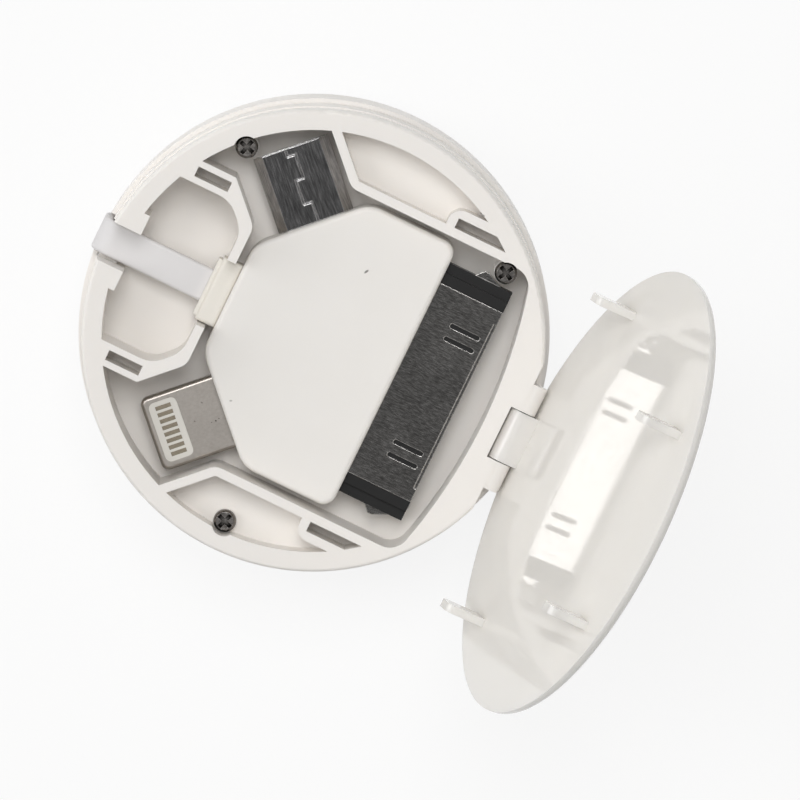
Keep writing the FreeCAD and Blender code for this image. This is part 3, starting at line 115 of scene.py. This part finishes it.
def drawn_metal(name, colour, shade, rough, turn, streak, edge=0.06, depth=0.002, specks=(),
                recess_shade=0, vary=0.2):
    """Rolled or brushed metal: streaks along the rolling direction in colour, gloss and height.

    Turn is in degrees; streak (along and across), edge, depth and the reach of the painted
    recess shade are in mm.
    """
    finish, tree, shader = new_finish(name, {"Metallic": 1.0})
    where = add(tree, "ShaderNodeTexCoord").outputs["Object"]
    along, across = streak
    grain_space = add(tree, "ShaderNodeMapping", {
        "Vector": where, "Rotation": (0, 0, math.radians(turn)),
        "Scale": (along * MM, across * MM, across * MM)}, vector_type="TEXTURE")
    grain = add(tree, "ShaderNodeTexNoise", {
        "Vector": grain_space.outputs[0], "Scale": 1.0, "Detail": 4, "Roughness": 0.65})
    cloud = add(tree, "ShaderNodeTexNoise", {
        "Vector": where, "Scale": 1 / (CLOUD_SIZE * MM), "Detail": 3})
    level = add(tree, "ShaderNodeMapRange", {
        "Value": grain.outputs[0], "From Min": 0.3, "From Max": 0.7})
    tint = mix_colours(tree, level.outputs[0], linear(shade), linear(colour))
    tint = speckled(tree, where, tint, METAL_DIRT, specks)
    if recess_shade:
        # Painted shade: the colour darkens in recesses, where shade falls
        reach = add(tree, "ShaderNodeAmbientOcclusion", {"Distance": recess_shade * MM},
                    samples=RECESS_SHADE_SAMPLES)
        unshaded = add(tree, "ShaderNodeMapRange", {
            "Value": reach.outputs["AO"], "From Min": 0.5, "From Max": 0.9})
        tint = mix_colours(tree, unshaded.outputs[0], linear(RECESS_SHADE), tint)
    tree.links.new(tint, shader.inputs["Base Color"])
    mixed = add(tree, "ShaderNodeMath", {0: grain.outputs[0], 1: cloud.outputs[0]},
                operation="ADD")
    gloss = add(tree, "ShaderNodeMapRange", {
        "Value": mixed.outputs[0], "From Min": 0.7, "From Max": 1.3,
        "To Min": rough * (1 - vary), "To Max": rough * (1 + vary)})
    tree.links.new(gloss.outputs[0], shader.inputs["Roughness"])
    round_edge = add(tree, "ShaderNodeBevel", {"Radius": edge * MM}, samples=BEVEL_SAMPLES)
    bump = add(tree, "ShaderNodeBump", {
        "Height": grain.outputs[0], "Strength": 1.0, "Distance": depth * MM,
        "Normal": round_edge.outputs[0]})
    tree.links.new(bump.outputs[0], shader.inputs["Normal"])
    return finish


# White ABS scatters light a little under its skin, which fills the hollows with a warm glow
MILKY = {"Subsurface Weight": 0.15, "Subsurface Radius": (1.0, 0.95, 0.85),
         "Subsurface Scale": 0.8 * MM}

# Satin ABS of the moulded tray, slightly warm white, with one dirt mark
tray_abs = moulded(
    "tray_abs", "#F5F1EC", "#F1EDE8", rough=0.36, grain=0.35, depth=0.0004, edge=0,
    sockets=MILKY, specks=[(8.44, 16.3, 0.45, 0.28, 20, 0.6)])
# The same ABS on the base, with a shallower grain
base_abs = moulded(
    "base_abs", "#F5F1EC", "#F1EDE8", rough=0.36, grain=0.35, depth=0.0002, edge=0,
    sockets=MILKY)
# Matt ABS of the connector head, with two small dirt marks from use
head_abs = moulded(
    "head_abs", "#F0EDE9", "#ECE9E4", rough=0.5, grain=0.3, depth=0.002, edge=0.1,
    sockets=MILKY, specks=[
        (1.56, 7.34, 0.57, 0.24, 62, 0.85), (-4.13, -8.0, 0.33, 0.2, 30, 0.45)])
# Polished styrene of the lid: milky, and glossy enough to mirror the plugs
lid_styrene = moulded(
    "lid_polished_styrene", "#F0EDE8", "#ECE9E4", rough=0.06, grain=0.5, depth=0.00002, edge=0,
    sockets={"IOR": 1.49, "Subsurface Weight": 0.5, "Subsurface Radius": (1.0, 1.0, 0.95),
             "Subsurface Scale": 1.2 * MM})
# Soft TPE jacket of the flat cable, cooler and greyer than the case
jacket_tpe = moulded(
    "jacket_tpe", "#E3E1E1", "#DDDBDB", rough=0.5, grain=0.25, depth=0.003, edge=0.1)
# Soft PVC of the strain relief, a little yellow
relief_pvc = moulded(
    "relief_pvc", "#F0ECE4", "#E9E4DA", rough=0.6, grain=0.6, depth=0.02, edge=0.2,
    sockets=MILKY)
# Natural acetal of the hidden reel
reel_acetal = moulded("reel_acetal", "#E9E6DD", "#E2DED4", rough=0.42, grain=0.4, depth=0.004)
# Black glass-filled nylon of the plug cores
core_nylon = moulded(
    "core_black_nylon", "#131313", "#0B0B0B", rough=0.42, grain=0.3, depth=0.006, edge=0.08,
    sockets={"IOR": 1.36})
# Pale liquid-crystal polymer insert of the blade plug's contact pad
insert_lcp = moulded(
    "insert_pale_lcp", "#DEDBD4", "#D4D1CA", rough=0.5, grain=0.25, depth=0.003, edge=0.06)
# Green glass-epoxy laminate of the circuit board
board_fr4 = moulded("board_fr4", "#2F6B45", "#28593A", rough=0.4, grain=0.5, depth=0.004)
# Rolled stainless sheet of the dock plug's shell
dock_sheet = drawn_metal(
    "dock_rolled_steel", "#E6E4E1", "#908D8A", rough=0.12, turn=0, streak=(0.55, 0.1),
    edge=0.1, depth=0.0022)
# Nickel-plated sheet of the micro plug, drawn along its axis
micro_sheet = drawn_metal(
    "micro_nickel_steel", "#E0DFDF", "#8E8D8E", rough=0.11, turn=135, streak=(1.2, 0.12),
    edge=0.12, depth=0.0022)
# Blasted stainless body of the blade plug, with a few dark specks
blade_steel = drawn_metal(
    "blade_blasted_steel", "#B2ACA6", "#A7A19A", rough=0.3, turn=45, streak=(0.25, 0.2),
    edge=0.06, depth=0.0001, vary=0.04, specks=[
        (-4.50, -10.3, 0.2, 0.16, 0, 0.9), (-4.35, -10.0, 0.16, 0.1, 20, 0.7),
        (-4.77, -10.6, 0.16, 0.1, 0, 0.6), (-6.3, -9.4, 0.28, 0.18, 0, 0.4),
        (-6.15, -11.15, 0.2, 0.14, 0, 0.5)])
# Thin gold plating on the contacts
contact_gold = drawn_metal(
    "contact_gold_plate", "#E0B95F", "#C79E48", rough=0.28, turn=0, streak=(0.8, 0.1))
# Worn nickel-gold pads of the blade plug
contact_pads = drawn_metal(
    "contact_worn_pads", "#8E8677", "#726A5C", rough=0.42, turn=45, streak=(0.4, 0.1))
# Black-nickel plating of the screws, the pin and the ball, with painted shade in the cross
# recesses
screw_steel = drawn_metal(
    "screw_black_nickel", "#8E8A87", "#726F6C", rough=0.24, turn=0, streak=(0.3, 0.3),
    edge=0.05, recess_shade=0.35)
# Blued spring strip
spring_strip = drawn_metal(
    "spring_blued_steel", "#7C8290", "#5E6470", rough=0.3, turn=0, streak=(2.0, 0.1))

FINISHES = {
    tray_abs: ["tray"],
    base_abs: ["base_shell"],
    head_abs: ["head_top_shell", "head_bottom_shell"],
    lid_styrene: ["lid"],
    jacket_tpe: ["wound_ribbon", "lead_ribbon"],
    relief_pvc: ["strain_relief"],
    reel_acetal: ["reel"],
    core_nylon: ["dock_plug_core", "micro_plug_core"],
    insert_lcp: ["blade_plug_insert"],
    board_fr4: ["head_board"],
    dock_sheet: ["dock_plug_shell", "dock_latch_left", "dock_latch_right"],
    micro_sheet: ["micro_plug_shell", "micro_latch"],
    blade_steel: ["blade_plug_body"],
    contact_gold: ["dock_contacts", "micro_contacts"],
    contact_pads: ["blade_contacts"],
    screw_steel: ["tray_screw_a", "tray_screw_b", "tray_screw_c", "hinge_pin", "ratchet_ball"],
    spring_strip: ["reel_spring"],
}
for finish, members in FINISHES.items():
    for member in members:
        slots = nodes[member].data.materials
        slots.clear()
        slots.append(finish)

# Two vertices lie at the pole of the lid's crown, and the face without area between them bends
# the shading round it, so they are welded and the lid is shaded from its faces
SAME_SPOT = 0.001 * MM
lid = nodes["lid"]
bent_normals = lid.data.attributes.get("custom_normal")
if bent_normals:
    lid.data.attributes.remove(bent_normals)
no_area = min(lid.data.polygons, key=lambda face: face.area)
lid.vertex_groups.new(name="pole").add(list(no_area.vertices), 1, "REPLACE")
weld = lid.modifiers.new("pole_weld", "WELD")
weld.vertex_group = "pole"
weld.merge_threshold = SAME_SPOT

# Pale floor: white to the eye and in mirrors, and it keeps the object's shadow
FLOOR_HALF = 3.0
FLOOR_DROP = 0.02 * MM
GLOW_SHARE = 0.85
floor_finish = bpy.data.materials.new("studio_paper")
floor_finish.use_nodes = True
tree = floor_finish.node_tree
tree.nodes.clear()
ray = add(tree, "ShaderNodeLightPath")
seen = add(tree, "ShaderNodeMath", {
    0: ray.outputs["Is Camera Ray"], 1: ray.outputs["Is Glossy Ray"]}, operation="MAXIMUM")
seen = add(tree, "ShaderNodeMath", {
    0: seen.outputs[0], 1: ray.outputs["Is Transmission Ray"]}, operation="MAXIMUM")
lift = add(tree, "ShaderNodeMath", {0: seen.outputs[0], 1: GLOW_SHARE}, operation="MULTIPLY")
paper = add(tree, "ShaderNodeBsdfDiffuse", {"Color": linear("#F4F4F3")})
glow = add(tree, "ShaderNodeEmission", {"Color": (1, 1, 1, 1), "Strength": 1.0})
both = add(tree, "ShaderNodeMixShader", {
    0: lift.outputs[0], 1: paper.outputs[0], 2: glow.outputs[0]})
add(tree, "ShaderNodeOutputMaterial", {"Surface": both.outputs[0]})
floor_mesh = bmesh.new()
bmesh.ops.create_grid(floor_mesh, x_segments=1, y_segments=1, size=FLOOR_HALF)
bmesh.ops.translate(floor_mesh, vec=(0, 0, -FLOOR_DROP), verts=floor_mesh.verts)
floor_data = bpy.data.meshes.new("studio_floor")
floor_mesh.to_mesh(floor_data)
floor_mesh.free()
floor_data.materials.append(floor_finish)
floor = bpy.data.objects.new("studio_floor", floor_data)
bpy.context.scene.collection.objects.link(floor)

# World: a ring of light round a dark opening overhead, where a camera looks in; dim sides.
# Each stop is an angle from the opening's axis in degrees and a brightness
OPENING_AXIS = (0.0407, -0.0848, 0.9956)
SIDES, RING, OPENING = 0.24, 0.95, 0.095
RING_STOPS = [(28, SIDES), (21, RING), (11, RING), (7.5, OPENING)]
world = bpy.data.worlds.new("light_ring")
bpy.context.scene.world = world
world.use_nodes = True
tree = world.node_tree
sky = add(tree, "ShaderNodeTexCoord").outputs["Generated"]
up = add(tree, "ShaderNodeVectorMath", {0: sky, 1: OPENING_AXIS},
         operation="DOT_PRODUCT").outputs["Value"]
ring = add(tree, "ShaderNodeValToRGB", {0: up})
stops = ring.color_ramp.elements
for index, (tilt, level) in enumerate(RING_STOPS):
    # A new ramp has two stops
    stop = stops[index] if index < 2 else stops.new(1.0)
    stop.position = math.cos(math.radians(tilt))
    stop.color = (level, level, level, 1)
tree.links.new(ring.outputs[0], tree.nodes["Background"].inputs["Color"])

# Directions in the photograph's plane: to its right, and up
RIGHT = Vector((0.8990, 0.4380, 0))
UP = Vector((-0.4380, 0.8990, 0))
LAMP_TARGET = Vector((0.008, 0, 0.015))
CAMERA_PLACE = Vector((-0.0229, 0.0651, 0.7955))
CAMERA_TARGET = Vector((0.00902, -0.00129, 0.01605))


def aim(thing, place, target, side):
    """Puts a lamp or camera at a place, looking at the target, its X axis near side."""
    ahead = (target - place).normalized()
    across = (side - ahead * side.dot(ahead)).normalized()
    turn = Matrix((across, across.cross(ahead), -ahead)).transposed()
    thing.matrix_world = Matrix.Translation(place) @ turn.to_4x4()


def softbox(name, place, width, watts):
    """A square lamp of this width in metres, aimed at the part."""
    lamp = bpy.data.lights.new(name, "AREA")
    lamp.size = width
    lamp.energy = watts
    thing = bpy.data.objects.new(name, lamp)
    bpy.context.scene.collection.objects.link(thing)
    aim(thing, place, LAMP_TARGET, RIGHT)


# The main light, from the photograph's upper side
softbox("softbox_top", UP * 0.33 + Vector((0, 0, 0.92)), width=0.4, watts=3.4)
# Low on the left, for the upright lid
softbox("softbox_low", Vector((-0.81, -0.09, 0.35)), width=0.5, watts=1.7)
# This one is mirrored by the dock plug and then by the open lid
softbox("softbox_left", Vector((-0.562, -0.081, 0.76)), width=0.3, watts=1.2)

# Camera almost straight above, leaning a little to the photograph's upper edge
camera = bpy.data.cameras.new("camera")
camera.sensor_width = 36
camera.lens = 405
camera.clip_start = 0.05
camera.dof.use_dof = False
view = bpy.data.objects.new("camera", camera)
bpy.context.scene.collection.objects.link(view)
aim(view, CAMERA_PLACE, CAMERA_TARGET, RIGHT)
bpy.context.scene.camera = view
bpy.context.scene.view_settings.view_transform = "Standard"
